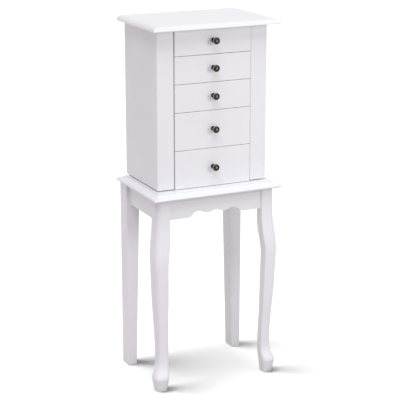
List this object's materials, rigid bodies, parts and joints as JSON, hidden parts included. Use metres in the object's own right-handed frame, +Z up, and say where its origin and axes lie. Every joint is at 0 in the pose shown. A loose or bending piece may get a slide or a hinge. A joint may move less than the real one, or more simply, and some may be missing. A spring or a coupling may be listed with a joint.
{
  "type": "jewelry chest",
  "caption": "Free-standing jewelry chest on cabriole legs: knobbed drawers between hinged side doors with necklace hooks, under a flip-up mirrored lid over a ring tray.",
  "frame": {"origin": "on the floor under the middle of the base board, which is the widest and deepest piece", "axes": "+Z up, -Y to the front where the drawers open, +X to the right as seen from the front"},
  "size_m": [0.336, 0.238, 0.89],
  "materials": {
    "white_lacquer": "satin white lacquer over wood",
    "pale_wood": "clear sealed pale hardwood",
    "felt_board": "thin board faced with grey felt",
    "velvet": "grey velvet over foam",
    "antique_bronze": "dark antique bronze plating",
    "plated_steel": "nickel-plated",
    "catch_plastic": "moulded plastic round a magnet",
    "mirror": "silvered glass"
  },
  "bodies": {
    "cabinet": {"base_top": "white_lacquer", "front_apron": "white_lacquer", "rear_apron": "white_lacquer", "left_apron": "white_lacquer", "right_apron": "white_lacquer", "front_left_leg": "white_lacquer", "front_right_leg": "white_lacquer", "rear_left_leg": "white_lacquer", "rear_right_leg": "white_lacquer", "corner_brackets": "plated_steel", "leg_bolts": "plated_steel", "cabinet_floor": "white_lacquer", "left_wall": "white_lacquer", "right_wall": "white_lacquer", "back_panel": "white_lacquer", "tray_floor": "white_lacquer", "tray_front_rail": "white_lacquer", "tray_dividers": "white_lacquer", "ring_rolls": "velvet", "door_catches": "catch_plastic", "door_hinge_fixed_leaves": "plated_steel", "lid_hinge_fixed_leaves": "plated_steel", "drawer_runners": "pale_wood"},
    "lid": {"lid_board": "white_lacquer", "lid_mirror": "mirror", "lid_hinge_leaves": "plated_steel"},
    "left_door": {"left_door_panel": "white_lacquer", "left_door_stile": "white_lacquer", "left_door_rails": "white_lacquer", "left_door_hooks": "plated_steel", "left_door_hinge_leaves": "plated_steel", "left_door_strike": "plated_steel"},
    "right_door": {"right_door_panel": "white_lacquer", "right_door_stile": "white_lacquer", "right_door_rails": "white_lacquer", "right_door_hooks": "plated_steel", "right_door_hinge_leaves": "plated_steel", "right_door_strike": "plated_steel"},
    "drawer_1": {"drawer_1_front": "white_lacquer", "drawer_1_box": "pale_wood", "drawer_1_bottom": "felt_board", "drawer_1_knob": "antique_bronze"},
    "drawer_2": {"drawer_2_front": "white_lacquer", "drawer_2_box": "pale_wood", "drawer_2_bottom": "felt_board", "drawer_2_knob": "antique_bronze"},
    "drawer_3": {"drawer_3_front": "white_lacquer", "drawer_3_box": "pale_wood", "drawer_3_bottom": "felt_board", "drawer_3_knob": "antique_bronze"},
    "drawer_4": {"drawer_4_front": "white_lacquer", "drawer_4_box": "pale_wood", "drawer_4_bottom": "felt_board", "drawer_4_knob": "antique_bronze"},
    "drawer_5": {"drawer_5_front": "white_lacquer", "drawer_5_box": "pale_wood", "drawer_5_bottom": "felt_board", "drawer_5_knob": "antique_bronze"}
  },
  "joints": [
    {"name": "lid_hinge", "type": "hinge", "parent": "cabinet", "child": "lid", "pos_m": [0, 0.1149, 0.87785], "axis": [-1, 0, 0], "range_deg": [0, 95]},
    {"name": "left_door_hinge", "type": "hinge", "parent": "cabinet", "child": "left_door", "pos_m": [-0.1305, 0.1149, 0.68745], "axis": [0, 0, -1], "range_deg": [0, 110]},
    {"name": "right_door_hinge", "type": "hinge", "parent": "cabinet", "child": "right_door", "pos_m": [0.1305, 0.1149, 0.68745], "axis": [0, 0, 1], "range_deg": [0, 110]},
    {"name": "drawer_1_slide", "type": "slide", "parent": "cabinet", "child": "drawer_1", "axis": [0, -1, 0], "range_m": [0, 0.12]},
    {"name": "drawer_2_slide", "type": "slide", "parent": "cabinet", "child": "drawer_2", "axis": [0, -1, 0], "range_m": [0, 0.12]},
    {"name": "drawer_3_slide", "type": "slide", "parent": "cabinet", "child": "drawer_3", "axis": [0, -1, 0], "range_m": [0, 0.12]},
    {"name": "drawer_4_slide", "type": "slide", "parent": "cabinet", "child": "drawer_4", "axis": [0, -1, 0], "range_m": [0, 0.12]},
    {"name": "drawer_5_slide", "type": "slide", "parent": "cabinet", "child": "drawer_5", "axis": [0, -1, 0], "range_m": [0, 0.12]}
  ]
}
